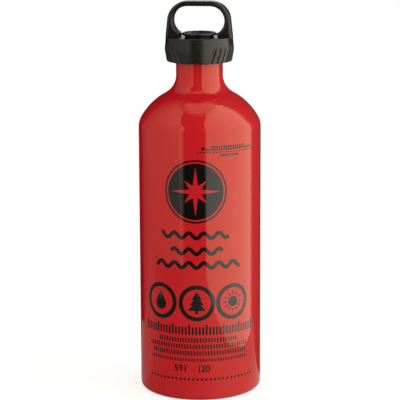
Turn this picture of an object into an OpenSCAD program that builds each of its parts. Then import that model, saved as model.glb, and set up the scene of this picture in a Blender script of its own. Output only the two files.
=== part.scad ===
// Fuel bottle with a push-and-turn screw cap and a carrying loop.
// Millimetres, +Z up. The origin is on the bottle's axis, on the face that it stands on.

/* [Bottle] */
// Outer diameter of the body
body_d = 73.6; // [68:0.2:90]
// Height at which the body bends into the shoulder
shoulder_z = 161.6; // [110:0.2:230]
// Radius of the tight bend at the top of the body
shoulder_r = 12; // [8:0.5:15]
// Angle that the tight bend turns through
shoulder_turn = 30; // [22:1:38]
// Steepest angle of the shoulder from upright
shoulder_slope = 61.3; // [57:0.1:65]
// Radius of the hollow bend from the shoulder into the neck
throat_r = 12; // [8:0.5:15]
// Outer diameter of the neck
neck_d = 28.1; // [26:0.1:32]
// Length of the straight neck
neck_h = 14; // [13:0.5:24]
// Wall of the body and shoulder
wall = 0.9; // [0.7:0.1:1.6]
// Wall of the neck, without its thread
neck_wall = 1.45; // [1.2:0.05:1.8]
// Thickness of the domed base
base_t = 1.4; // [1:0.1:2.5]
// Radius of the bottom corner
foot_r = 3.1; // [2.4:0.1:6]
// Width of the flat ring that the bottle stands on
foot_w = 3; // [2:0.1:6]
// Rise of the base at its middle
dome_h = 8; // [4:0.5:12]

/* [Thread] */
// Rise of the thread in one turn
pitch = 3; // [2.6:0.1:4]
// Height of a thread ridge from its wall
ridge_h = 0.95; // [0.7:0.05:1.1]
// Gap between the crest of each ridge and the wall that it faces
ridge_gap = 0.45; // [0.3:0.05:0.6]
// Width of a ridge at its foot
ridge_w = 1.5; // [1:0.1:1.5]
// Depth of the plug below the neck's rim
plug_depth = 15; // [12:0.5:16]

/* [Cap] */
// Height of the flange above the rim, which the seal fills
seal_gap = 0.7; // [0.4:0.1:1]
// Thickness of the seal's cord before it is squeezed
seal_d = 2; // [1.6:0.1:2.4]
// How much the seal is squeezed
seal_squeeze = 0.2; // [0.1:0.05:0.4]
// Thickness of the plug's flange
flange_t = 2.6; // [2.2:0.1:4]
// How far the flange reaches past the neck
flange_reach = 2.55; // [2:0.05:4]
// Number of drive lugs on the plug, and on the grip cap
lug_count = 12; // [4:4:16]
// Height of a drive lug
lug_h = 1.25; // [0.8:0.05:2]
// Gap between the tips of the lugs while the cap turns freely
lug_gap = 0.35; // [0.3:0.05:1]
// Thickness of the grip cap's floor
floor_t = 2.55; // [1.4:0.05:3]
// Gap between the flange and the grip ring round it
skirt_gap = 0.7; // [0.4:0.1:1.5]
// Wall of the grip ring at its widest
ring_wall = 3.44; // [3:0.02:5]
// Height of the grip ring
ring_h = 14.8; // [13:0.1:18]
// Height of the rim that stands round the floor
rim_h = 0.6; // [0.5:0.1:3]
// Height of the ring's widest line above its bottom edge
ridge_line = 7.2; // [5:0.1:9]
// Turn of the grip cap from the front
cap_turn = -7; // [-20:1:20]
// Number of grip grooves on each side
grip_count = 12; // [5:1:15]
// Angle from the middle of the plain panel to the first groove
grip_first = 33; // [20:1:45]
// Lean of a grip groove
grip_lean = 15; // [0:1:20]
// Radius of a grip groove's round cutter
grip_r = 1.1; // [0.6:0.1:1.2]
// Diameter of the hub's head
hub_d = 20.5; // [18.4:0.1:21]
// Height of the hub's head
hub_h = 2.8; // [2.4:0.1:4]
// Depth of the dish in the hub's head
hub_dish = 1.3; // [0.4:0.1:1.5]

/* [Loop] */
// Height of the loop above the grip ring
loop_h = 20.9; // [16:0.1:30]
// Thickness of the loop's legs
loop_t = 3.5; // [2.6:0.05:4.5]
// Thickness of the loop across its top
loop_top_t = 2.85; // [2.4:0.05:4]
// Depth of the band from front to back
loop_depth = 10; // [7:0.5:12]
// Radius of the loop's outer bends
loop_bend_r = 11.9; // [10:0.1:13]
// How much the legs lean in from the ring to the bends
loop_lean = 1; // [0:0.1:2]
// Rounding of the band's edges
loop_edge_r = 1.5; // [0.8:0.1:1.6]

/* [Hidden] */
$fn = 96;

// Clearances
run_gap = 0.08;
slide_gap = 0.3;
press_gap = 0.1;
sunk = 0.3;

// Bottle
body_r = body_d / 2;
neck_r = neck_d / 2;
neck_in_r = neck_r - neck_wall;
arc_step = 3;
throat_fade = 12;
sweep_r = (body_r - neck_r - shoulder_r * (1 - cos(shoulder_turn)) - throat_r * (1 - cos(shoulder_slope)))
    / (cos(shoulder_turn) - cos(shoulder_slope));
bend_c = [body_r - shoulder_r, shoulder_z];
sweep_c = bend_c + (shoulder_r - sweep_r) * [cos(shoulder_turn), sin(shoulder_turn)];
throat_c = sweep_c + (sweep_r + throat_r) * [cos(shoulder_slope), sin(shoulder_slope)];
neck_z = throat_c[1];
rim_z = neck_z + neck_h;
rim_round = 0.3;
foot_in_r = body_r - foot_r - foot_w;
dome_r = (foot_in_r * foot_in_r + dome_h * dome_h) / (2 * dome_h);
dome_edge = asin(foot_in_r / dome_r);

// Thread
ridge_crest_w = ridge_w * 0.5;
thread_steps = 30;
core_r = neck_in_r - ridge_h - ridge_gap;
ridge_top_inset = 1.8;
plug_z = rim_z - plug_depth;

// Seal and plug
seal_r = neck_in_r + 0.7;
seal_h = seal_d - seal_squeeze;
flange_z = rim_z + seal_gap;
flange_top = flange_z + flange_t;
flange_r = neck_r + flange_reach;
groove_side = seal_d / 2 + slide_gap;
lug_in_r = flange_r - 3.8;
lug_out_r = flange_r - 0.4;
lug_share = 0.34;
pivot_r = 4.2;
barb_r = pivot_r + 0.7;
barb_h = 2.2;
ledge_z = flange_z - 2.5;
chamber_h = 3.4;
web_t = 2;
hollow_r = core_r - 2.6;

// Grip cap and hub
floor_z = flange_top + 2 * lug_h + lug_gap;
floor_top = floor_z + floor_t;
skirt_r = flange_r + skirt_gap;
ring_r = skirt_r + ring_wall;
ring_top = floor_top + rim_h;
ring_z = ring_top - ring_h;
ridge_z = ring_z + ridge_line;
ring_low_r = ring_r - 1.05;
ring_top_r = ring_r - 0.65;
rim_in_r = skirt_r + 0.3;
low_round = 0.8;
top_round = 0.6;
key_r = 7.4;
key_flat = 6.2;
grip_out = 0.3;
grip_len = 17.5;
hub_r = hub_d / 2;
hub_neck_r = hub_r - 1.6;
hub_top = floor_top + hub_h;

// Spring
spring_t = 0.4;
spring_in_r = key_r + 0.9;
spring_out_r = lug_in_r - 0.9;
spring_waves = 3;
spring_steps = 72;

// Loop
loop_top = ring_top + loop_h;
loop_foot_x = ring_top_r - 0.15;
loop_x = loop_foot_x - loop_lean;
window_x = loop_x - loop_t;
window_top = loop_top - loop_top_t;
window_z = floor_top + 1.4;
window_r = (window_top - window_z) / 2;
window_c = [window_x - window_r, window_z + window_r];
bend_out_c = [loop_x - loop_bend_r, loop_top - loop_bend_r];
foot_x = hub_r + 0.9;
foot_angle = acos((foot_x - window_c[0]) / window_r);
loop_steps = 9;
corner_steps = 4;

// Points on an arc about c, from angle a to angle b
function arc(c, r, a, b, n) = [for (i = [0:n]) c + r * [cos(a + (b - a) * i / n), sin(a + (b - a) * i / n)]];
// The same points without the first one, to go on from where another stretch ends
function arc_on(c, r, a, b, n) = [for (i = [1:n]) c + r * [cos(a + (b - a) * i / n), sin(a + (b - a) * i / n)]];
function steps(turn) = max(2, ceil(abs(turn) / arc_step));

// Solid through a list of rings, each with the same number of points
module skin(rings, closed = false) {
    n = len(rings[0]);
    m = len(rings);
    last = closed ? m - 1 : m - 2;
    sides = [for (i = [0:last]) for (j = [0:n - 1]) let (k = (i + 1) % m, l = (j + 1) % n)
        each [[i * n + j, k * n + j, k * n + l], [i * n + j, k * n + l, i * n + l]]];
    ends = closed ? [] : [[for (j = [0:n - 1]) j], [for (j = [n - 1:-1:0]) (m - 1) * n + j]];
    polyhedron([for (ring = rings) each ring], concat(sides, ends));
}

// Helical ridge from z0 to z1, from radius foot to radius crest, on a helix through z0 + lift at angle 0
module thread(z0, z1, foot, crest) {
    turns = (z1 - z0) / pitch;
    count = ceil(turns * thread_steps);
    out = crest > foot;
    half = ridge_w / 2;
    tip = ridge_crest_w / 2;
    rings = [for (i = [0:count]) let (
            a = 360 * turns * i / count,
            z = z0 + pitch * a / 360,
            ramp = min(1, 0.1 + 4 * min(i, count - i) / thread_steps),
            top = foot + (crest - foot) * ramp)
        [for (p = out ? [[foot, -half], [foot, half], [top, tip], [top, -tip]]
            : [[foot, half], [foot, -half], [top, -tip], [top, tip]])
            [p[0] * cos(a), p[0] * sin(a), z + p[1]]]];
    skin(rings);
}

// Ring of drive lugs, one of them centred on the angle start
module lugs(start, inner, outer) {
    each_turn = 360 / lug_count;
    half = each_turn * lug_share / 2;
    reach = outer * 1.1;
    linear_extrude(lug_h + sunk)
        intersection() {
            difference() {
                circle(outer);
                circle(inner);
            }
            for (i = [0:lug_count - 1]) {
                a = start + i * each_turn;
                polygon([[0, 0], reach * [cos(a - half), sin(a - half)], reach * [cos(a + half), sin(a + half)]]);
            }
        }
}

// Round with a flat on two sides, for the hub and the hole it slides in
module two_flats(r, flat) {
    intersection() {
        circle(r);
        square([2 * flat, 2 * r + 1], center = true);
    }
}

function shoulder_outside() = concat(
    arc_on(bend_c, shoulder_r, 0, shoulder_turn, steps(shoulder_turn)),
    arc_on(sweep_c, sweep_r, shoulder_turn, shoulder_slope, steps(shoulder_slope - shoulder_turn)),
    arc_on(throat_c, throat_r, shoulder_slope + 180, 180, steps(shoulder_slope)));

function shoulder_inside() = concat(
    arc(throat_c, throat_r + neck_wall, 180, 180 + shoulder_slope - throat_fade, steps(shoulder_slope)),
    arc(sweep_c, sweep_r - wall, shoulder_slope, shoulder_turn, steps(shoulder_slope - shoulder_turn)),
    arc_on(bend_c, shoulder_r - wall, shoulder_turn, 0, steps(shoulder_turn)));

module bottle_shell() {
    dome_c = [0, dome_h - dome_r];
    foot_c = [body_r - foot_r, foot_r];
    color([0.70, 0.10, 0.09]) {
        rotate_extrude()
            polygon(concat(
                arc(dome_c, dome_r, 90, 90 - dome_edge, steps(dome_edge)),
                arc(foot_c, foot_r, -90, 0, steps(90) / 3),
                [[body_r, shoulder_z]],
                shoulder_outside(),
                [[neck_r, rim_z - rim_round], [neck_r - rim_round, rim_z]],
                [[neck_in_r + rim_round, rim_z], [neck_in_r, rim_z - rim_round]],
                shoulder_inside(),
                arc(foot_c, foot_r - wall, 0, -90, steps(90) / 3),
                arc(dome_c, dome_r + base_t, 90 - dome_edge, 90, steps(dome_edge))));
        thread(neck_z + ridge_w / 2, rim_z - ridge_top_inset, neck_in_r + sunk, neck_in_r - ridge_h);
    }
}

// The section is a round cord squeezed flat at the top and bottom
module neck_o_ring() {
    color([0.06, 0.06, 0.06])
        rotate_extrude()
            translate([seal_r, rim_z + seal_h / 2])
                intersection() {
                    circle(d = seal_d, $fn = 48);
                    square([2 * seal_d, seal_h], center = true);
                }
}

module threaded_plug() {
    thread_z = plug_z + ridge_w / 2 + 0.4;
    first_turn = (thread_z - (neck_z + ridge_w / 2)) / pitch;
    color([0.13, 0.12, 0.12]) {
        difference() {
            union() {
                translate([0, 0, plug_z])
                    cylinder(r = core_r, h = flange_z + sunk - plug_z);
                translate([0, 0, flange_z])
                    cylinder(r = flange_r, h = flange_t);
                translate([0, 0, flange_top - sunk])
                    lugs(0, lug_in_r, lug_out_r);
            }
            // Seat of the seal
            translate([0, 0, flange_z - 1])
                difference() {
                    cylinder(r = seal_r + groove_side, h = 1 + seal_h - seal_gap);
                    translate([0, 0, -1])
                        cylinder(r = core_r, h = seal_h + 3);
                }
            // Socket that the hub snaps into
            translate([0, 0, ledge_z - 1])
                cylinder(r = pivot_r + run_gap, h = flange_top - ledge_z + 2);
            translate([0, 0, ledge_z - chamber_h])
                cylinder(r = barb_r + slide_gap, h = chamber_h);
            // Hollow underside
            translate([0, 0, plug_z - 1])
                cylinder(r = hollow_r, h = ledge_z - chamber_h - web_t - plug_z + 1);
        }
        // The ridge lies half a pitch from the bottle's own ridge, all the way
        rotate([0, 0, 360 * first_turn + 180])
            thread(thread_z, flange_z - ridge_top_inset, core_r - sunk, core_r + ridge_h);
    }
}

module return_spring() {
    swing = (floor_z - flange_top - spring_t) / 2;
    half = spring_t / 2;
    rings = [for (i = [0:spring_steps - 1]) let (
            a = 360 * i / spring_steps,
            z = flange_top + half + swing * (1 + cos(spring_waves * a)))
        [for (p = [[spring_in_r, -half], [spring_in_r, half], [spring_out_r, half], [spring_out_r, -half]])
            [p[0] * cos(a), p[0] * sin(a), z + p[1]]]];
    color([0.72, 0.73, 0.75])
        skin(rings, closed = true);
}

module retaining_hub() {
    key_z = flange_top + press_gap;
    barb_top = ledge_z - press_gap;
    barb_z = barb_top - barb_h;
    edge = 0.6;
    slot_w = 1.4;
    color([0.20, 0.18, 0.20])
        difference() {
            union() {
                rotate_extrude()
                    polygon(concat(
                        [[0, barb_z], [barb_r - 1.2, barb_z], [barb_r, barb_z + 1.2], [barb_r, barb_top]],
                        [[pivot_r, barb_top], [pivot_r, key_z + sunk], [0, key_z + sunk]]));
                translate([0, 0, key_z])
                    rotate([0, 0, cap_turn])
                        linear_extrude(floor_top + sunk - key_z)
                            two_flats(key_r, key_flat);
                rotate_extrude()
                    polygon(concat(
                        [[0, floor_top], [hub_neck_r, floor_top], [hub_neck_r + 0.15, floor_top + 0.9]],
                        [[hub_r, hub_top - 1.1]],
                        arc([hub_r - edge, hub_top - edge], edge, 0, 90, 6),
                        [[hub_r - 1.5, hub_top], [hub_r - 1.5 - hub_dish / 2, hub_top - hub_dish]],
                        [[0, hub_top - hub_dish]]));
            }
            // Slots that let the barbed end spring in
            for (a = [0, 90])
                rotate([0, 0, a])
                    translate([-slot_w / 2, -barb_r - 1, barb_z - 1])
                        cube([slot_w, 2 * barb_r + 2, flange_z - barb_z]);
        }
}

module ring_and_floor() {
    rotate_extrude()
        polygon(concat(
            [[0, floor_z], [skirt_r, floor_z], [skirt_r, ring_z + 0.5], [skirt_r + 0.5, ring_z]],
            arc([ring_low_r - low_round, ring_z + low_round], low_round, -90, 0, 6),
            [[ring_r, ridge_z - 0.3], [ring_r, ridge_z + 0.3]],
            arc([ring_top_r - top_round, ring_top - top_round], top_round, 0, 90, 6),
            arc([rim_in_r + 0.4, ring_top - 0.4], 0.4, 90, 180, 4),
            [[rim_in_r, floor_top], [0, floor_top]]));
}

// One grip groove at angle a from the front, leaning towards the front at its lower end
module grip_groove(a, side) {
    taper = atan((ring_r - ring_low_r) / (ridge_line - low_round));
    rotate([0, 0, side * a - 90])
        translate([ring_r + grip_out, 0, ridge_z])
            rotate([-side * grip_lean, taper, 0])
                cylinder(r = grip_r, h = grip_len, center = true, $fn = 32);
}

// The band's outline as pairs of points, outer and inner, from the right foot to the middle of the top
function leg_pairs() = concat(
    [[[loop_foot_x, floor_top - sunk], [foot_x, floor_top - sunk]]],
    [for (i = [0:loop_steps]) let (a = foot_angle * (1 - i / loop_steps), f = i / loop_steps)
        [[loop_foot_x - loop_lean * f, ring_top + (bend_out_c[1] - ring_top) * f],
            window_c + window_r * [cos(a), -sin(a)]]],
    [for (i = [1:loop_steps]) let (a = 90 * i / loop_steps)
        [bend_out_c + loop_bend_r * [cos(a), sin(a)], window_c + window_r * [cos(a), sin(a)]]],
    [[[0, loop_top], [0, window_top]]]);

function mirrored(pairs) = [for (i = [len(pairs) - 2:-1:0]) [for (p = pairs[i]) [-p[0], p[1]]]];

// Rounded section of the band between an outer and an inner point
function band_section(pair) = let (
        middle = (pair[0] + pair[1]) / 2,
        across = pair[0] - pair[1],
        half = norm(across) / 2,
        u = across / (2 * half),
        edge = min(loop_edge_r, half * 0.95),
        flat_u = half - edge,
        flat_y = loop_depth / 2 - edge)
    [for (k = [0:3]) for (j = [0:corner_steps]) let (
            a = 90 * k + 90 * j / corner_steps,
            su = (k == 0 || k == 3) ? 1 : -1,
            sy = k < 2 ? 1 : -1,
            w = su * flat_u + edge * cos(a),
            y = sy * flat_y + edge * sin(a))
        [middle[0] + u[0] * w, y, middle[1] + u[1] * w]];

module loop_band() {
    leg = leg_pairs();
    skin([for (pair = concat(leg, mirrored(leg))) band_section(pair)]);
}

module grip_cap() {
    color([0.15, 0.14, 0.13]) {
        rotate([0, 0, cap_turn])
            difference() {
                union() {
                    ring_and_floor();
                    loop_band();
                }
                translate([0, 0, floor_z - 1])
                    linear_extrude(floor_t + 2)
                        two_flats(key_r + slide_gap, key_flat + slide_gap);
                for (side = [-1, 1])
                    for (i = [0:grip_count - 1])
                        grip_groove(grip_first + (180 - 2 * grip_first) * i / (grip_count - 1), side);
            }
        translate([0, 0, floor_z - lug_h])
            lugs(180 / lug_count, lug_in_r, lug_out_r);
    }
}

bottle_shell();
neck_o_ring();
threaded_plug();
return_spring();
retaining_hub();
grip_cap();
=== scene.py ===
import math

import bmesh
import bpy
import numpy as np
from mathutils import Matrix, Vector


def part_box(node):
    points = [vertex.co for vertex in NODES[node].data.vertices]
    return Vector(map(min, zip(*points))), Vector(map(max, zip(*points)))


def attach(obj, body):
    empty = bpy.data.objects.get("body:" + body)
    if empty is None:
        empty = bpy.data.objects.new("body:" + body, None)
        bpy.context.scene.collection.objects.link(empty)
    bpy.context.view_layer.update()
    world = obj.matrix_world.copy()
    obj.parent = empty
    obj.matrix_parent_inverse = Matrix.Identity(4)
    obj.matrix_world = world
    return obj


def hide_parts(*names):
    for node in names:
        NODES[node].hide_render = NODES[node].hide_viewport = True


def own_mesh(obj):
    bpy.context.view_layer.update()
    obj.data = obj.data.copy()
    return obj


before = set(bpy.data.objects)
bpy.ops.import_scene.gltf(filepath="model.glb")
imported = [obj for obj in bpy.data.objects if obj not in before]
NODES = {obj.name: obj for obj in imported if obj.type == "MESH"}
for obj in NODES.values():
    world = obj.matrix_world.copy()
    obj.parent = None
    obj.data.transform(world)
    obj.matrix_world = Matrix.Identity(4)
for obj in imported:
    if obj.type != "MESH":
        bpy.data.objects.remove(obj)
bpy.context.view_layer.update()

# Camping fuel bottle: finishes and print for the CAD model, its return spring, and the studio around it.
# Lengths are in metres unless a comment says millimetres.
MM = 0.001
BODY_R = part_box("bottle_shell")[1].x
SPRING_LOW, SPRING_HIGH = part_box("return_spring")

# Camera, as fitted to the bottle's outline: its place, its tilt and the small lean of the picture
CAMERA_AT = (0.0, -1.0475, 0.3334)
CAMERA_TILT = math.radians(11.69)
CAMERA_ROLL = math.radians(-0.24)
CAMERA_LENS = 158.3
CAMERA_SENSOR = 36.0
CAMERA_SHIFT = (0.0, -0.00275)
CAMERA_CLIP = (0.01, 20.0)

# Dome of the studio, the colour of the light, and the white of the backdrop
DOME_R = 0.8
DOME_Z = 0.1
DOME_COLUMNS = 288
DOME_ROWS = 108
DOME_REACH = (-72.0, 90.0)
LIGHT_COLOUR = (1.08, 1.0, 0.92, 1.0)
WHITE = (1.0, 1.0, 1.0, 1.0)

# What the dome shows, as the bottle's reflections show it. Azimuths are in degrees from the camera's side and
# grow to the right, but the left panel's are counted to the left. A strength is given against azimuth. A fade
# is the two values between which something comes in or goes out. Above square_to, a panel's inner edge leans
# outward by lean degrees of azimuth for each degree of elevation.
RIGHT_PANEL = {
    "edges": (11.0, 110.5), "soft": (2.5, 6.0), "square_to": 55.0, "lean": 1.0,
    "strength": ((11.0, 37.0, 67.0, 110.0), (1.6, 1.9, 2.3, 2.35))}
LEFT_PANEL = {
    "edges": (31.0, 134.0), "soft": (2.5, 2.5), "square_to": 38.0, "lean": 1.2,
    "strength": ((31.0, 37.0, 40.0, 68.0, 98.0, 108.0, 116.0, 124.0, 134.0),
                 (1.0, 1.0, 0.68, 0.58, 0.40, 0.33, 0.235, 0.16, 0.11))}
LEFT_TOP_FADE = (65.0, 71.0)
LEFT_FOOT_FADE = (5.0, 12.0)
LEFT_FOOT_LOSS = 0.25
ROOF_FADE = (66.0, 78.0)
ROOF_BACK_FADE = (0.08, 0.22)
ROOF_STRENGTH = 1.0
STEEPEST = 89.9
BACKDROP_HEIGHTS = (4.0, 26.0)
BACKDROP_SOFT = (2.5, 2.5)
BACKDROP_FADE = (168.0, 174.0)
CLOTH = ((-180.0, -140.0, -90.0, 90.0, 118.0, 126.0, 140.0, 180.0),
         (0.0, 0.0, 0.05, 0.07, 0.2, 0.13, 0.07, 0.02))

# Lit table round the bottle as the reflections show it: azimuth, reach and strength
TABLE_Z = -0.0005
TABLE_FOOT = 0.03
TABLE = ((-145, 0.17, 0.30), (-125, 0.17, 0.25), (-118, 0.25, 0.25), (-108, 0.40, 0.28), (-98, 0.40, 0.32),
         (-86, 0.40, 0.20), (-60, 0.385, 0.15), (-42, 0.385, 0.18), (-20, 0.385, 0.25), (-3, 0.38, 0.35),
         (10, 0.36, 0.45), (22, 0.253, 0.62), (36, 0.197, 0.68), (49, 0.152, 0.75), (66, 0.142, 0.75),
         (79, 0.135, 0.66), (99, 0.157, 0.58), (112, 0.19, 0.55))

# Lights for the matt part of the surfaces: azimuth and power, and the strength of the world's even fill
SOFT_LIGHTS = {"side_light": (72.0, 4.4), "front_light": (-12.0, 2.0)}
SOFT_LIGHT_SIZE = 0.9
SOFT_LIGHT_DISTANCE = 1.0
SOFT_LIGHT_Z = 0.45
SOFT_LIGHT_AIM = (0.0, 0.0, 0.12)
WORLD_FILL = 0.60

# Floor: the share of its reach from which it fades, its own colour, and the light that lifts it to white
FLOOR_R = 0.3
FLOOR_Z = -0.0001
FLOOR_COLUMNS = 64
FLOOR_RINGS = 12
FLOOR_FADE_FROM = 0.5
FLOOR_COLOUR = (0.55, 0.55, 0.55, 1.0)
FLOOR_LIFT = 0.68

# Bare metal inside the vessel: below INNER_FLOOR_TOP the faces that look up, and above it those that look
# inward. The limits are on the share of a face's normal that points away from the axis, or up.
INNER_FLOOR_TOP = 0.012
INWARD_LIMIT = -0.05
UPWARD_LIMIT = 0.5
BARE_METAL = (0.58, 0.58, 0.59, 1.0)
BARE_ROUGHER = 0.32

# Stops of a ramp between which most of a noise lies, and the detail of each noise
NOISE_SPAN = (0.3, 0.7)
COLOUR_DETAIL = 3.0
ROUGH_DETAIL = 4.0
RELIEF_DETAIL = 2.0

# Wave spring inside the cap, in millimetres
SPRING_IN_R = 8.3
SPRING_T = 0.4
SPRING_WAVES = 3
SPRING_COLUMNS = 240
SPRING_CORNERS = 6

# Print on the bottle, in millimetres. A place is the length round the body from the front, then the height.
INK_RISE = 0.05
INK_SINK = 0.05
BEND_STEP = 1.6
MERGE_DISTANCE = 1e-4

# Fill line and rows of ticks: height, start and end, then pitch, width and height of a dash or tick
FILL_LINE = (151.7, -1.4, 38.0)
FILL_DASH = (1.9, 1.2, 0.5)
FILL_ROWS = ((154.9, 7.3, 29.4), (153.4, 4.2, 35.2), (149.9, 12.9, 24.2))
FILL_TICK = (1.5, 1.0, 1.2)
FILL_POINTER = (1.8, 152.6)
POINTER_HALF_W = 1.3
POINTER_H = 2.1

# Badge: its rings and the star's points and notches, as shares of its radius
COMPASS_AT = (-2.7, 128.4)
COMPASS_R = 19.0
COMPASS_RINGS = (1.0, 0.945, 0.89)
COMPASS_SIDES = 96
STAR_REACH = (0.78, 0.21, 0.50, 0.21)
STAR_CORNERS = 16

# Wavy lines: height, start and end of each, and their form
WAVES = ((102.0, -24.5, 17.5), (92.4, -18.0, 13.5), (84.0, -28.5, 25.5))
WAVE_LENGTH = 9.0
WAVE_SWELL = 1.6
WAVE_STROKE = 2.3
WAVE_STEP = 0.5

# Three round signs
ICON_Z = 60.8
ICON_R = 11.0
ICON_STROKE = 2.5
ICON_SIDES = 72
ICON_PLACES = (-25.6, -2.2, 20.4)

# Ruler of upright ticks, with a taller one at every fifth
RULER_FOOT = 41.3
RULER_REACH = (-38.3, 36.2)
RULER_PITCH = 2.1
RULER_TICK_W = 1.15
RULER_TICK_H = 4.8
RULER_TALL_H = 6.2
RULER_TALL_EVERY = 5

# Rows of fine ticks: height, start, end and tick height of each
DASH_ROWS = ((37.9, -26.3, 24.3, 2.8), (33.9, -34.0, 32.0, 2.8), (29.9, -31.8, 29.8, 2.8),
             (25.7, -33.2, 31.2, 1.7))
DASH_PITCH = 1.75
DASH_W = 0.85

# Plain numbers with a bar between them, and the row of dots below
NUMBERS = (("591", -12.2), ("20", 3.0))
NUMBERS_Z = 20.2
NUMBER_SIZE = 5.7
NUMBER_WEIGHT = 0.1
BAR_AT = -0.8
BAR_W = 0.6
BAR_H = 4.6
DOTS_Z = 13.6
DOTS_REACH = (-33.6, 35.1)
DOT_R = 0.75
DOT_SIDES = 16
DOT_COUNT = 27


def new_object(name, data):
    obj = bpy.data.objects.new(name, data)
    bpy.context.scene.collection.objects.link(obj)
    return obj


def mesh_object(name, verts, faces):
    mesh = bpy.data.meshes.new(name)
    mesh.from_pydata([tuple(v) for v in verts], [], faces)
    mesh.polygons.foreach_set("use_smooth", [True] * len(mesh.polygons))
    mesh.update()
    return new_object(name, mesh)


def new_material(name):
    material = bpy.data.materials.new(name)
    material.use_nodes = True
    tree = material.node_tree
    tree.nodes.clear()
    return material, tree


def add_node(tree, kind, inputs=None, **settings):
    node = tree.nodes.new(kind)
    for key, value in settings.items():
        setattr(node, key, value)
    for key, value in (inputs or {}).items():
        node.inputs[key].default_value = value
    return node


def link(tree, source, socket, target, name):
    tree.links.new(source.outputs[socket], target.inputs[name])


def maths(tree, operation, *terms):
    """Math node; each term is a number, or a node with the name of its output."""
    node = add_node(tree, "ShaderNodeMath", operation=operation)
    for place, term in enumerate(terms):
        if isinstance(term, tuple):
            link(tree, *term, node, place)
        else:
            node.inputs[place].default_value = term
    return node


def mixed(tree, share, first, second):
    """Mix of two shaders. All three are nodes with the names of their outputs; share is the second's."""
    node = add_node(tree, "ShaderNodeMixShader")
    for place, term in enumerate((share, first, second)):
        link(tree, *term, node, place)
    return node


def noise(tree, scale, detail):
    coords = add_node(tree, "ShaderNodeTexCoord")
    texture = add_node(tree, "ShaderNodeTexNoise", {"Scale": scale, "Detail": detail})
    link(tree, coords, "Object", texture, "Vector")
    return texture


def wander(tree, scale, detail, ends):
    """Ramp that wanders between two colours, or two numbers, with a noise."""
    node = add_node(tree, "ShaderNodeValToRGB")
    for element, place, end in zip(node.color_ramp.elements, NOISE_SPAN, ends):
        element.position = place
        element.color = (*end, 1.0) if isinstance(end, tuple) else (end, end, end, 1.0)
    link(tree, noise(tree, scale, detail), "Fac", node, "Fac")
    return node


def finish_material(name, colours, roughness, scales, bump, sockets):
    """A surface whose colour, roughness and relief each vary a little with a noise of their own scale."""
    material, tree = new_material(name)
    shader = add_node(tree, "ShaderNodeBsdfPrincipled", sockets)
    output = add_node(tree, "ShaderNodeOutputMaterial")
    link(tree, shader, "BSDF", output, "Surface")
    colour_scale, rough_scale, bump_scale = scales
    link(tree, wander(tree, colour_scale, COLOUR_DETAIL, colours), "Color", shader, "Base Color")
    link(tree, wander(tree, rough_scale, ROUGH_DETAIL, roughness), "Color", shader, "Roughness")
    strength, distance = bump
    relief = add_node(tree, "ShaderNodeBump", {"Strength": strength, "Distance": distance})
    link(tree, noise(tree, bump_scale, RELIEF_DETAIL), "Fac", relief, "Height")
    link(tree, relief, "Normal", shader, "Normal")
    return material


def make_camera():
    data = bpy.data.cameras.new("camera")
    data.lens = CAMERA_LENS
    data.sensor_width = CAMERA_SENSOR
    data.shift_x, data.shift_y = CAMERA_SHIFT
    data.clip_start, data.clip_end = CAMERA_CLIP
    camera = new_object("camera", data)
    tilt = Matrix.Rotation(math.pi / 2 - CAMERA_TILT, 4, "X")
    roll = Matrix.Rotation(CAMERA_ROLL, 4, "Z")
    camera.matrix_world = Matrix.Translation(CAMERA_AT) @ tilt @ roll
    bpy.context.scene.camera = camera


def on_circle(radius, azimuth, z):
    """A point round the bottle's axis; azimuth 0 is towards the camera and grows to the right."""
    a = math.radians(azimuth)
    return (radius * math.sin(a), -radius * math.cos(a), z)


def ring_cells(columns, rows, first=0):
    """For each cell between closed rings of vertices, the numbers of its two corners on the nearer ring."""
    for j in range(rows):
        for i in range(columns):
            yield first + j * columns + i, first + j * columns + (i + 1) % columns


def rise(value, low, high):
    """0 below low, 1 above high and a smooth step between."""
    t = min(1.0, max(0.0, (value - low) / (high - low)))
    return t * t * (3.0 - 2.0 * t)


def between(value, edges, soft):
    """1 between two edges, each of which fades over twice its softness."""
    low, high = edges
    return rise(value, low - soft[0], low + soft[0]) * (1.0 - rise(value, high - soft[1], high + soft[1]))


def side_panel(azimuth, elevation, edges, soft, square_to, lean, strength):
    inner, outer = edges
    inner += lean * max(0.0, elevation - square_to)
    return between(azimuth, (inner, outer), soft) * float(np.interp(azimuth, *strength))


def roof_light(azimuth, elevation):
    """The roof is a flat sheet overhead, which ends a little way behind the bottle."""
    # The tangent has no value straight up, so the elevation stops just short of that.
    height = math.tan(math.radians(min(elevation, STEEPEST)))
    behind = -math.cos(math.radians(azimuth)) / height
    return ROOF_STRENGTH * (1.0 - rise(behind, *ROOF_BACK_FADE))


def studio_light(azimuth, elevation):
    """Strength of the light from one direction: side panels, a roof, a backdrop and dark cloth between."""
    right = side_panel(azimuth, elevation, **RIGHT_PANEL)
    left = side_panel(-azimuth, elevation, **LEFT_PANEL)
    left *= 1.0 - rise(elevation, *LEFT_TOP_FADE)
    upper_gain = math.sin(math.radians(max(0.0, elevation))) ** 2
    left *= 1.0 + upper_gain - LEFT_FOOT_LOSS * rise(-elevation, *LEFT_FOOT_FADE)
    backdrop = between(elevation, BACKDROP_HEIGHTS, BACKDROP_SOFT) * rise(abs(azimuth), *BACKDROP_FADE)
    cloth = float(np.interp(azimuth, *CLOTH))
    roof_share = rise(elevation, *ROOF_FADE)
    roof = roof_share * roof_light(azimuth, elevation) if roof_share > 0.0 else 0.0
    return cloth + backdrop + (right + left) * (1.0 - roof_share) + roof


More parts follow.
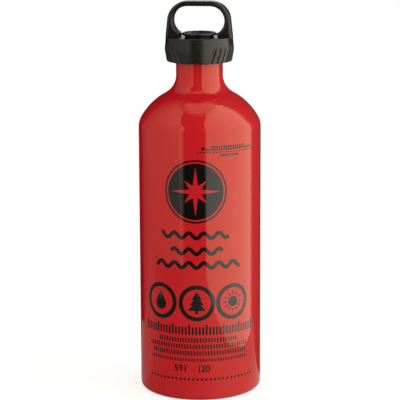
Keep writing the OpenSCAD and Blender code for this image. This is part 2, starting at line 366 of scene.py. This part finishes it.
def glowing(sheet, strengths):
    """Makes a mesh shine with one strength for each vertex, as reflections alone see it."""
    attribute = sheet.data.attributes.new("strength", "FLOAT", "POINT")
    attribute.data.foreach_set("value", strengths)
    material, tree = new_material(sheet.name + "_light")
    strength = add_node(tree, "ShaderNodeAttribute", attribute_name="strength")
    light = add_node(tree, "ShaderNodeEmission", {"Color": LIGHT_COLOUR})
    output = add_node(tree, "ShaderNodeOutputMaterial")
    link(tree, strength, "Fac", light, "Strength")
    link(tree, light, "Emission", output, "Surface")
    sheet.data.materials.append(material)
    sheet.visible_camera = False
    sheet.visible_diffuse = False
    sheet.visible_shadow = False


def make_studio():
    """A dome that only reflections see; each vertex carries the strength of its direction."""
    low, high = DOME_REACH
    verts, glow = [], []
    for j in range(DOME_ROWS + 1):
        elevation = low + (high - low) * j / DOME_ROWS
        flat = DOME_R * math.cos(math.radians(elevation))
        z = DOME_Z + DOME_R * math.sin(math.radians(elevation))
        for i in range(DOME_COLUMNS):
            azimuth = -180.0 + 360.0 * i / DOME_COLUMNS
            verts.append(on_circle(flat, azimuth, z))
            glow.append(studio_light(azimuth, elevation))
    faces = []
    for a, b in ring_cells(DOME_COLUMNS, DOME_ROWS):
        faces.append((a, a + DOME_COLUMNS, b + DOME_COLUMNS, b))
    dome = mesh_object("studio_dome", verts, faces)
    glowing(dome, glow)


def make_table():
    """The table's lit top as only reflections see it, a fan of wedges round the bottle."""
    verts, glow = [], []
    for azimuth, reach, strength in TABLE:
        verts += [on_circle(TABLE_FOOT, azimuth, TABLE_Z), on_circle(reach, azimuth, TABLE_Z)]
        glow += [strength, strength]
    faces = [(2 * i, 2 * i + 1, 2 * i + 3, 2 * i + 2) for i in range(len(TABLE) - 1)]
    table = mesh_object("studio_table", verts, faces)
    glowing(table, glow)


def make_soft_light(name, azimuth, power):
    """A broad soft light for the matt part of the surfaces; reflections don't see it."""
    data = bpy.data.lights.new(name, "AREA")
    data.shape = "RECTANGLE"
    data.size = SOFT_LIGHT_SIZE
    data.size_y = SOFT_LIGHT_SIZE
    data.energy = power
    data.color = LIGHT_COLOUR[:3]
    light = new_object(name, data)
    place = Vector(on_circle(SOFT_LIGHT_DISTANCE, azimuth, SOFT_LIGHT_Z))
    aim = (place - Vector(SOFT_LIGHT_AIM)).to_track_quat("Z", "Y")
    light.matrix_world = Matrix.Translation(place) @ aim.to_matrix().to_4x4()
    light.visible_camera = False
    light.visible_glossy = False


def floor_paper():
    """Pale paper that the camera sees as white with a soft shadow, and that fades out towards its rim."""
    material, tree = new_material("floor_paper")
    coords = add_node(tree, "ShaderNodeTexCoord")
    length = add_node(tree, "ShaderNodeVectorMath", operation="LENGTH")
    link(tree, coords, "Object", length, 0)
    reach = {"From Min": FLOOR_FADE_FROM * FLOOR_R, "From Max": FLOOR_R, "To Min": 1.0, "To Max": 0.0}
    fade = add_node(tree, "ShaderNodeMapRange", reach)
    link(tree, length, "Value", fade, "Value")
    paper = add_node(tree, "ShaderNodeBsdfDiffuse", {"Color": FLOOR_COLOUR})
    lift = add_node(tree, "ShaderNodeEmission", {"Color": WHITE, "Strength": FLOOR_LIFT})
    lifted = add_node(tree, "ShaderNodeAddShader")
    link(tree, paper, "BSDF", lifted, 0)
    link(tree, lift, "Emission", lifted, 1)
    path = add_node(tree, "ShaderNodeLightPath")
    seen = mixed(tree, (path, "Is Camera Ray"), (paper, "BSDF"), (lifted, "Shader"))
    clear = add_node(tree, "ShaderNodeBsdfTransparent")
    faded = mixed(tree, (fade, "Result"), (clear, "BSDF"), (seen, "Shader"))
    output = add_node(tree, "ShaderNodeOutputMaterial")
    link(tree, faded, "Shader", output, "Surface")
    return material


def make_floor():
    """Pale floor that keeps the contact shadow and fades into the white backdrop."""
    verts = [(0.0, 0.0, FLOOR_Z)]
    for j in range(1, FLOOR_RINGS + 1):
        for i in range(FLOOR_COLUMNS):
            verts.append(on_circle(FLOOR_R * j / FLOOR_RINGS, 360.0 * i / FLOOR_COLUMNS, FLOOR_Z))
    faces = [(0, 1 + (i + 1) % FLOOR_COLUMNS, 1 + i) for i in range(FLOOR_COLUMNS)]
    for a, b in ring_cells(FLOOR_COLUMNS, FLOOR_RINGS - 1, first=1):
        faces.append((a, b, b + FLOOR_COLUMNS, a + FLOOR_COLUMNS))
    floor = mesh_object("floor", verts, faces)
    floor.data.materials.append(floor_paper())
    floor.visible_glossy = False


def make_world():
    """White for the camera, reflections and glass, and a dim even fill for the rest."""
    world = bpy.data.worlds.new("backdrop")
    bpy.context.scene.world = world
    world.use_nodes = True
    tree = world.node_tree
    tree.nodes.clear()
    path = add_node(tree, "ShaderNodeLightPath")
    shown = maths(tree, "MAXIMUM", (path, "Is Camera Ray"), (path, "Is Glossy Ray"))
    clear = maths(tree, "MAXIMUM", (shown, "Value"), (path, "Is Transmission Ray"))
    fill = add_node(tree, "ShaderNodeBackground", {"Color": LIGHT_COLOUR, "Strength": WORLD_FILL})
    white = add_node(tree, "ShaderNodeBackground", {"Color": WHITE, "Strength": 1.0})
    mix = mixed(tree, (clear, "Value"), (fill, "Background"), (white, "Background"))
    output = add_node(tree, "ShaderNodeOutputWorld")
    link(tree, mix, "Shader", output, "Surface")


def inner_faces(tree):
    """1 on the shell's inner walls and floor, 0 outside and under the domed base."""
    coords = add_node(tree, "ShaderNodeTexCoord")
    place = add_node(tree, "ShaderNodeSeparateXYZ")
    link(tree, coords, "Object", place, 0)
    geometry = add_node(tree, "ShaderNodeNewGeometry")
    facing = add_node(tree, "ShaderNodeSeparateXYZ")
    link(tree, geometry, "True Normal", facing, 0)
    level = add_node(tree, "ShaderNodeVectorMath", {1: (1.0, 1.0, 0.0)}, operation="MULTIPLY")
    link(tree, coords, "Object", level, 0)
    away = add_node(tree, "ShaderNodeVectorMath", operation="NORMALIZE")
    link(tree, level, "Vector", away, 0)
    outward = add_node(tree, "ShaderNodeVectorMath", operation="DOT_PRODUCT")
    link(tree, away, "Vector", outward, 0)
    link(tree, geometry, "True Normal", outward, 1)
    inward = maths(tree, "LESS_THAN", (outward, "Value"), INWARD_LIMIT)
    above = maths(tree, "GREATER_THAN", (place, "Z"), INNER_FLOOR_TOP)
    wall = maths(tree, "MULTIPLY", (inward, "Value"), (above, "Value"))
    upward = maths(tree, "GREATER_THAN", (facing, "Z"), UPWARD_LIMIT)
    below = maths(tree, "LESS_THAN", (place, "Z"), INNER_FLOOR_TOP)
    floor = maths(tree, "MULTIPLY", (upward, "Value"), (below, "Value"))
    return maths(tree, "MAXIMUM", (wall, "Value"), (floor, "Value"))


def red_enamel():
    """Red enamel outside, and bare aluminium on the shell's inner faces."""
    material = finish_material(
        "red_enamel", colours=((0.60, 0.012, 0.020), (0.63, 0.014, 0.023)), roughness=(0.035, 0.06),
        scales=(9.0, 60.0, 900.0), bump=(0.02, 0.0002),
        sockets={"IOR": 1.5, "Specular Tint": (1.0, 1.0, 0.66, 1.0)})
    tree = material.node_tree
    shader = next(node for node in tree.nodes if node.type == "BSDF_PRINCIPLED")
    tint = shader.inputs["Base Color"].links[0].from_node
    grain = shader.inputs["Roughness"].links[0].from_node
    bare = inner_faces(tree)
    colour = add_node(tree, "ShaderNodeMixRGB", {"Color2": BARE_METAL})
    link(tree, bare, "Value", colour, "Fac")
    link(tree, tint, "Color", colour, "Color1")
    link(tree, colour, "Color", shader, "Base Color")
    dull = maths(tree, "MULTIPLY_ADD", (bare, "Value"), BARE_ROUGHER, (grain, "Color"))
    link(tree, dull, "Value", shader, "Roughness")
    link(tree, bare, "Value", shader, "Metallic")
    return material


def cap_plastic():
    return finish_material(
        "cap_nylon", colours=((0.008, 0.006, 0.0045), (0.012, 0.0095, 0.0075)), roughness=(0.20, 0.32),
        scales=(120.0, 400.0, 1500.0), bump=(0.15, 0.0002), sockets={"IOR": 1.46})


def hub_plastic():
    return finish_material(
        "hub_nylon", colours=((0.010, 0.008, 0.010), (0.014, 0.012, 0.014)), roughness=(0.28, 0.38),
        scales=(150.0, 500.0, 1800.0), bump=(0.15, 0.0002), sockets={"IOR": 1.5})


def plug_plastic():
    return finish_material(
        "plug_nylon", colours=((0.020, 0.019, 0.019), (0.028, 0.026, 0.026)), roughness=(0.36, 0.48),
        scales=(150.0, 500.0, 1800.0), bump=(0.15, 0.0002), sockets={"IOR": 1.5})


def seal_rubber():
    return finish_material(
        "seal_rubber", colours=((0.016, 0.016, 0.016), (0.024, 0.024, 0.024)), roughness=(0.50, 0.62),
        scales=(200.0, 600.0, 2500.0), bump=(0.2, 0.0001), sockets={"IOR": 1.5})


def spring_steel():
    return finish_material(
        "spring_steel", colours=((0.52, 0.52, 0.53), (0.62, 0.62, 0.63)), roughness=(0.22, 0.34),
        scales=(200.0, 900.0, 3000.0), bump=(0.1, 0.0001), sockets={"Metallic": 1.0})


def black_ink():
    return finish_material(
        "black_ink", colours=((0.0025, 0.002, 0.002), (0.005, 0.004, 0.004)), roughness=(0.05, 0.09),
        scales=(60.0, 300.0, 1500.0), bump=(0.04, 0.0001), sockets={"IOR": 1.5})


def wave_spring(material):
    """Return spring, a waved strip with round edges between the plug and the grip cap, which takes the
    return_spring part's place and moves with the hub.
    """
    half = SPRING_T / 2 * MM
    inner, outer = SPRING_IN_R * MM + half, SPRING_HIGH.x - half
    section = []
    for centre, start in ((outer, -90.0), (inner, 90.0)):
        for k in range(SPRING_CORNERS + 1):
            a = math.radians(start + 180.0 * k / SPRING_CORNERS)
            section.append((centre + half * math.cos(a), half * math.sin(a)))
    swing = (SPRING_HIGH.z - SPRING_LOW.z) / 2 - half
    verts = []
    for i in range(SPRING_COLUMNS):
        a = 2.0 * math.pi * i / SPRING_COLUMNS
        z = SPRING_LOW.z + half + swing * (1.0 + math.cos(SPRING_WAVES * a))
        verts += [(r * math.cos(a), r * math.sin(a), z + up) for r, up in section]
    around = len(section)
    faces = []
    for i in range(SPRING_COLUMNS):
        a, b = i * around, (i + 1) % SPRING_COLUMNS * around
        for j in range(around):
            k = (j + 1) % around
            faces.append((b + j, b + k, a + k, a + j))
    spring = mesh_object("wave_spring", verts, faces)
    spring.data.materials.append(material)
    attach(spring, "hub")
    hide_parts("return_spring")
    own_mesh(spring)


def circle_loop(centre, radius, sides):
    turns = (2.0 * math.pi * i / sides for i in range(sides))
    return [(centre[0] + radius * math.cos(t), centre[1] + radius * math.sin(t)) for t in turns]


def bar_loop(x, y, width, height):
    left, right = x - width / 2, x + width / 2
    low, high = y - height / 2, y + height / 2
    return [(left, low), (right, low), (right, high), (left, high)]


def turned(points, degrees):
    c, s = math.cos(math.radians(degrees)), math.sin(math.radians(degrees))
    return [(c * x - s * y, s * x + c * y) for x, y in points]


def moved(points, centre):
    return [(centre[0] + x, centre[1] + y) for x, y in points]


def flat_mesh(data):
    """Filled flat mesh of a curve or text, which is then removed."""
    shape = new_object(data.name, data)
    graph = bpy.context.evaluated_depsgraph_get()
    mesh = bpy.data.meshes.new_from_object(shape.evaluated_get(graph))
    bpy.data.objects.remove(shape)
    bpy.data.curves.remove(data)
    return mesh


def filled(loops):
    """Flat mesh of closed outlines; one that lies inside another is a hole."""
    curve = bpy.data.curves.new("outline", "CURVE")
    curve.dimensions = "2D"
    curve.fill_mode = "BOTH"
    for loop in loops:
        spline = curve.splines.new("POLY")
        spline.points.add(len(loop) - 1)
        for point, (x, y) in zip(spline.points, loop):
            point.co = (x, y, 0.0, 1.0)
        spline.use_cyclic_u = True
    return flat_mesh(curve)


def number(text, place):
    """Flat mesh of a plain number, centred on its place."""
    curve = bpy.data.curves.new("number", "FONT")
    curve.body = text
    curve.size = NUMBER_SIZE
    curve.offset = NUMBER_WEIGHT
    curve.align_x = "CENTER"
    curve.align_y = "CENTER"
    mesh = flat_mesh(curve)
    mesh.transform(Matrix.Translation((place[0], place[1], 0.0)))
    return mesh


def joined(flats):
    """One flat mesh of several, facing up and cut into strips narrow enough to bend round the body."""
    sheet = bmesh.new()
    for flat in flats:
        sheet.from_mesh(flat)
        bpy.data.meshes.remove(flat)
    bmesh.ops.remove_doubles(sheet, verts=sheet.verts, dist=MERGE_DISTANCE)
    places = [v.co.x for v in sheet.verts]
    for i in range(math.ceil(min(places) / BEND_STEP), math.ceil(max(places) / BEND_STEP)):
        geometry = sheet.verts[:] + sheet.edges[:] + sheet.faces[:]
        cut = (i * BEND_STEP, 0.0, 0.0)
        bmesh.ops.bisect_plane(sheet, geom=geometry, plane_co=cut, plane_no=(1.0, 0.0, 0.0))
    sheet.normal_update()
    for face in sheet.faces:
        if face.normal.z < 0.0:
            face.normal_flip()
    sheet.verts.index_update()
    return sheet


def print_on_body(name, flats, ink):
    """Thin closed sheet of flat shapes bent round the body, with its face just off the enamel."""
    radius = BODY_R / MM
    sheet = joined(flats)
    normals = [on_circle(1.0, math.degrees(v.co.x / radius), 0.0) for v in sheet.verts]
    verts = []
    for proud in (INK_RISE, -INK_SINK):
        r = (radius + proud) * MM
        verts += [(r * normal[0], r * normal[1], v.co.y * MM) for v, normal in zip(sheet.verts, normals)]
    count = len(sheet.verts)
    faces = []
    for face in sheet.faces:
        ring = [v.index for v in face.verts]
        faces += [ring, [i + count for i in reversed(ring)]]
        for corner in face.loops:
            if corner.edge.is_boundary:
                a, b = corner.vert.index, corner.link_loop_next.vert.index
                faces.append([b, a, a + count, b + count])
    sheet.free()
    piece = mesh_object(name, verts, faces)
    piece.data.normals_split_custom_set_from_vertices(normals + normals)
    piece.data.materials.append(ink)
    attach(piece, "bottle")


def ticks(z, start, end, pitch, width, height):
    count = int((end - start) / pitch) + 1
    return [bar_loop(start + pitch * i, z, width, height) for i in range(count)]


def fill_line(ink):
    """Dashed line at the highest fuel level, with its pointer and rows of fine ticks."""
    loops = ticks(*FILL_LINE, *FILL_DASH)
    for row in FILL_ROWS:
        loops += ticks(*row, *FILL_TICK)
    x, z = FILL_POINTER
    loops.append([(x - POINTER_HALF_W, z + POINTER_H), (x, z), (x + POINTER_HALF_W, z + POINTER_H)])
    print_on_body("print_fill_line", [filled(loops)], ink)


def compass(ink):
    """A round badge with an eight-pointed star left clear in it."""
    star = []
    for i in range(STAR_CORNERS):
        reach = STAR_REACH[i % len(STAR_REACH)] * COMPASS_R
        a = math.pi / 2 + 2.0 * math.pi * i / STAR_CORNERS
        star.append((reach * math.cos(a), reach * math.sin(a)))
    loops = [circle_loop(COMPASS_AT, COMPASS_R * share, COMPASS_SIDES) for share in COMPASS_RINGS]
    print_on_body("print_compass", [filled(loops + [moved(star, COMPASS_AT)])], ink)


def waves(ink):
    """Wavy lines of an even stroke, whose sides are set off square to the wave."""
    flats = []
    turn = 2.0 * math.pi / WAVE_LENGTH
    for z, start, end in WAVES:
        upper, lower = [], []
        for x in np.linspace(start, end, int((end - start) / WAVE_STEP)):
            y = z + WAVE_SWELL * math.sin(turn * x)
            slope = WAVE_SWELL * turn * math.cos(turn * x)
            half = WAVE_STROKE / 2 / math.hypot(1.0, slope)
            upper.append((x - half * slope, y + half))
            lower.append((x + half * slope, y - half))
        flats.append(filled([lower + upper[::-1]]))
    print_on_body("print_waves", flats, ink)


def icon(name, place, loops, ink):
    centre = (place, ICON_Z)
    rings = [circle_loop(centre, radius, ICON_SIDES) for radius in (ICON_R, ICON_R - ICON_STROKE)]
    print_on_body(name, [filled(rings + [moved(loop, centre) for loop in loops])], ink)


def drop_loop():
    """A round bowl that closes in a point above it."""
    radius, centre, tip = 3.9, -1.6, 6.4
    start, sweep, steps = -205.0, 230.0, 24
    bowl = [math.radians(start + sweep * i / steps) for i in range(steps + 1)]
    return [(radius * math.cos(a), centre + radius * math.sin(a)) for a in bowl] + [(0.0, tip)]


def pine_loop():
    """A pine with three tiers and a trunk, even on both sides."""
    right = [(0.9, -6.6), (0.9, -4.6), (5.4, -4.6), (2.5, -1.2), (4.3, -1.2), (1.9, 2.2), (3.2, 2.2)]
    return right + [(0.0, 6.9)] + [(-x, y) for x, y in reversed(right)]


def sun_loops():
    """A disc with pointed rays around it."""
    disc_r, disc_sides, rays = 3.2, 36, 12
    ray = [(4.3, -0.65), (6.8, 0.0), (4.3, 0.65)]
    disc = circle_loop((0.0, 0.0), disc_r, disc_sides)
    return [disc] + [turned(ray, 360.0 / rays * i) for i in range(rays)]


def ruler(ink):
    start, end = RULER_REACH
    loops = []
    for i in range(int((end - start) / RULER_PITCH) + 1):
        height = RULER_TALL_H if i % RULER_TALL_EVERY == 0 else RULER_TICK_H
        loops.append(bar_loop(start + RULER_PITCH * i, RULER_FOOT + height / 2, RULER_TICK_W, height))
    print_on_body("print_ruler", [filled(loops)], ink)


def dashes(ink):
    loops = []
    for z, start, end, height in DASH_ROWS:
        loops += ticks(z, start, end, DASH_PITCH, DASH_W, height)
    print_on_body("print_dashes", [filled(loops)], ink)


def numbers(ink):
    flats = [number(text, (place, NUMBERS_Z)) for text, place in NUMBERS]
    flats.append(filled([bar_loop(BAR_AT, NUMBERS_Z, BAR_W, BAR_H)]))
    print_on_body("print_numbers", flats, ink)


def dots(ink):
    loops = [circle_loop((x, DOTS_Z), DOT_R, DOT_SIDES) for x in np.linspace(*DOTS_REACH, DOT_COUNT)]
    print_on_body("print_dots", [filled(loops)], ink)


def print_bottle():
    ink = black_ink()
    fill_line(ink)
    compass(ink)
    waves(ink)
    icon("print_drop", ICON_PLACES[0], [drop_loop()], ink)
    icon("print_pine", ICON_PLACES[1], [pine_loop()], ink)
    icon("print_sun", ICON_PLACES[2], sun_loops(), ink)
    ruler(ink)
    dashes(ink)
    numbers(ink)
    dots(ink)


def dress(node, material):
    mesh = NODES[node].data
    mesh.materials.clear()
    mesh.materials.append(material)


def dress_frame():
    dress("bottle_shell", red_enamel())
    dress("neck_o_ring", seal_rubber())
    dress("threaded_plug", plug_plastic())
    dress("retaining_hub", hub_plastic())
    dress("grip_cap", cap_plastic())


make_camera()
make_world()
make_floor()
make_studio()
make_table()
for name, (azimuth, power) in SOFT_LIGHTS.items():
    make_soft_light(name, azimuth, power)
dress_frame()
wave_spring(spring_steel())
print_bottle()
bpy.context.scene.view_settings.view_transform = "Standard"
